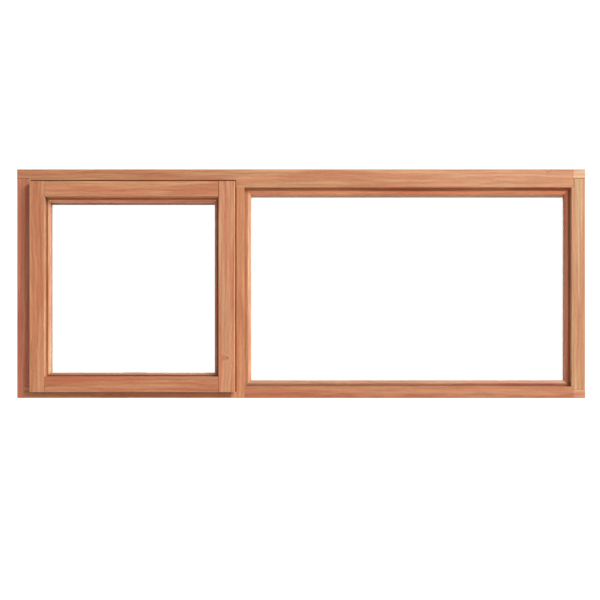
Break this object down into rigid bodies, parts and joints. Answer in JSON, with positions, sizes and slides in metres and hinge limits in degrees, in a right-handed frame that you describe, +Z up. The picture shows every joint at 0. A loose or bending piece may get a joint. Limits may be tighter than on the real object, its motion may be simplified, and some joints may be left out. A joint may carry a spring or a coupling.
{
  "type": "casement window",
  "caption": "Timber window with a top-hung lipped sash that opens outward beside a directly glazed fixed light, both double glazed with mitred beads.",
  "frame": {"origin": "underside of the sill, at the middle of the width and of the frame's depth", "axes": "+X along the width, towards the fixed light; +Y from the outside to the inside of the wall; +Z up"},
  "size_m": [1.5, 0.085, 0.604],
  "materials": {
    "hardwood": "oiled, satin",
    "hardwood_dark": "oiled, satin",
    "glass": "clear float",
    "rubber": "matt black",
    "aluminium": "bronze anodised",
    "steel": "zinc plated",
    "bronze": "dark bronze, satin",
    "brass": "satin"
  },
  "bodies": {
    "frame": {"frame_head": "hardwood", "frame_sill": "hardwood", "frame_left_jamb": "hardwood_dark", "frame_right_jamb": "hardwood", "frame_mullion": "hardwood", "fixed_bead_top": "hardwood", "fixed_bead_bottom": "hardwood", "fixed_bead_left": "hardwood", "fixed_bead_right": "hardwood", "fixed_outer_pane": "glass", "fixed_inner_pane": "glass", "fixed_spacer_bar": "aluminium", "fixed_edge_seal": "rubber", "fixed_setting_blocks": "rubber", "fixed_glazing_tape": "rubber", "fixed_bead_pins": "steel", "frame_weatherseal": "rubber", "hinge_frame_leaf_left": "steel", "hinge_frame_leaf_right": "steel", "hinge_pin_left": "steel", "hinge_pin_right": "steel", "hinge_frame_screws": "steel", "brake_base_left": "steel", "brake_base_right": "steel", "brake_base_screws": "steel", "keeper_plate": "brass", "keeper_screws": "brass"},
    "sash": {"sash_top_rail": "hardwood", "sash_bottom_rail": "hardwood", "sash_left_stile": "hardwood_dark", "sash_right_stile": "hardwood_dark", "sash_bead_top": "hardwood_dark", "sash_bead_bottom": "hardwood_dark", "sash_bead_left": "hardwood_dark", "sash_bead_right": "hardwood_dark", "sash_outer_pane": "glass", "sash_inner_pane": "glass", "sash_spacer_bar": "aluminium", "sash_edge_seal": "rubber", "sash_setting_blocks": "rubber", "sash_glazing_tape": "rubber", "sash_bead_pins": "steel", "hinge_sash_leaf_left": "steel", "hinge_sash_leaf_right": "steel", "hinge_sash_screws": "steel", "brake_track_left": "steel", "brake_track_right": "steel", "brake_track_screws": "steel", "fastener_plate": "bronze", "fastener_screws": "bronze", "fastener_spindle": "bronze"},
    "fastener": {"fastener_handle": "bronze"},
    "brake_arm_left": {"brake_arm_left": "steel"},
    "brake_arm_right": {"brake_arm_right": "steel"},
    "brake_shoe_left": {"brake_shoe_left": "bronze"},
    "brake_shoe_right": {"brake_shoe_right": "bronze"}
  },
  "joints": [
    {"name": "sash_hinge", "type": "hinge", "parent": "frame", "child": "sash", "pos_m": [-0.44375, -0.038, 0.5658], "axis": [-1, 0, 0], "range_deg": [0, 60]},
    {"name": "fastener_turn", "type": "hinge", "parent": "sash", "child": "fastener", "pos_m": [-0.44375, 0.011, 0.06], "axis": [0, 1, 0], "range_deg": [0, 90]},
    {"name": "brake_arm_left", "type": "hinge", "parent": "frame", "child": "brake_arm_left", "pos_m": [-0.698, -0.02277, 0.44173], "axis": [-1, 0, 0], "range_deg": [0, 120]},
    {"name": "brake_shoe_left", "type": "hinge", "parent": "brake_arm_left", "child": "brake_shoe_left", "pos_m": [-0.698, -0.00753, 0.31766], "axis": [-1, 0, 0], "range_deg": [-60, 0]},
    {"name": "brake_arm_right", "type": "hinge", "parent": "frame", "child": "brake_arm_right", "pos_m": [-0.19, -0.02277, 0.44173], "axis": [-1, 0, 0], "range_deg": [0, 120]},
    {"name": "brake_shoe_right", "type": "hinge", "parent": "brake_arm_right", "child": "brake_shoe_right", "pos_m": [-0.19, -0.00753, 0.31766], "axis": [-1, 0, 0], "range_deg": [-60, 0]}
  ],
  "couplings": [
    {"joint": "brake_arm_left", "follows": "sash_hinge", "ratio": 2},
    {"joint": "brake_shoe_left", "follows": "sash_hinge", "ratio": -1},
    {"joint": "brake_arm_right", "follows": "sash_hinge", "ratio": 2},
    {"joint": "brake_shoe_right", "follows": "sash_hinge", "ratio": -1}
  ]
}
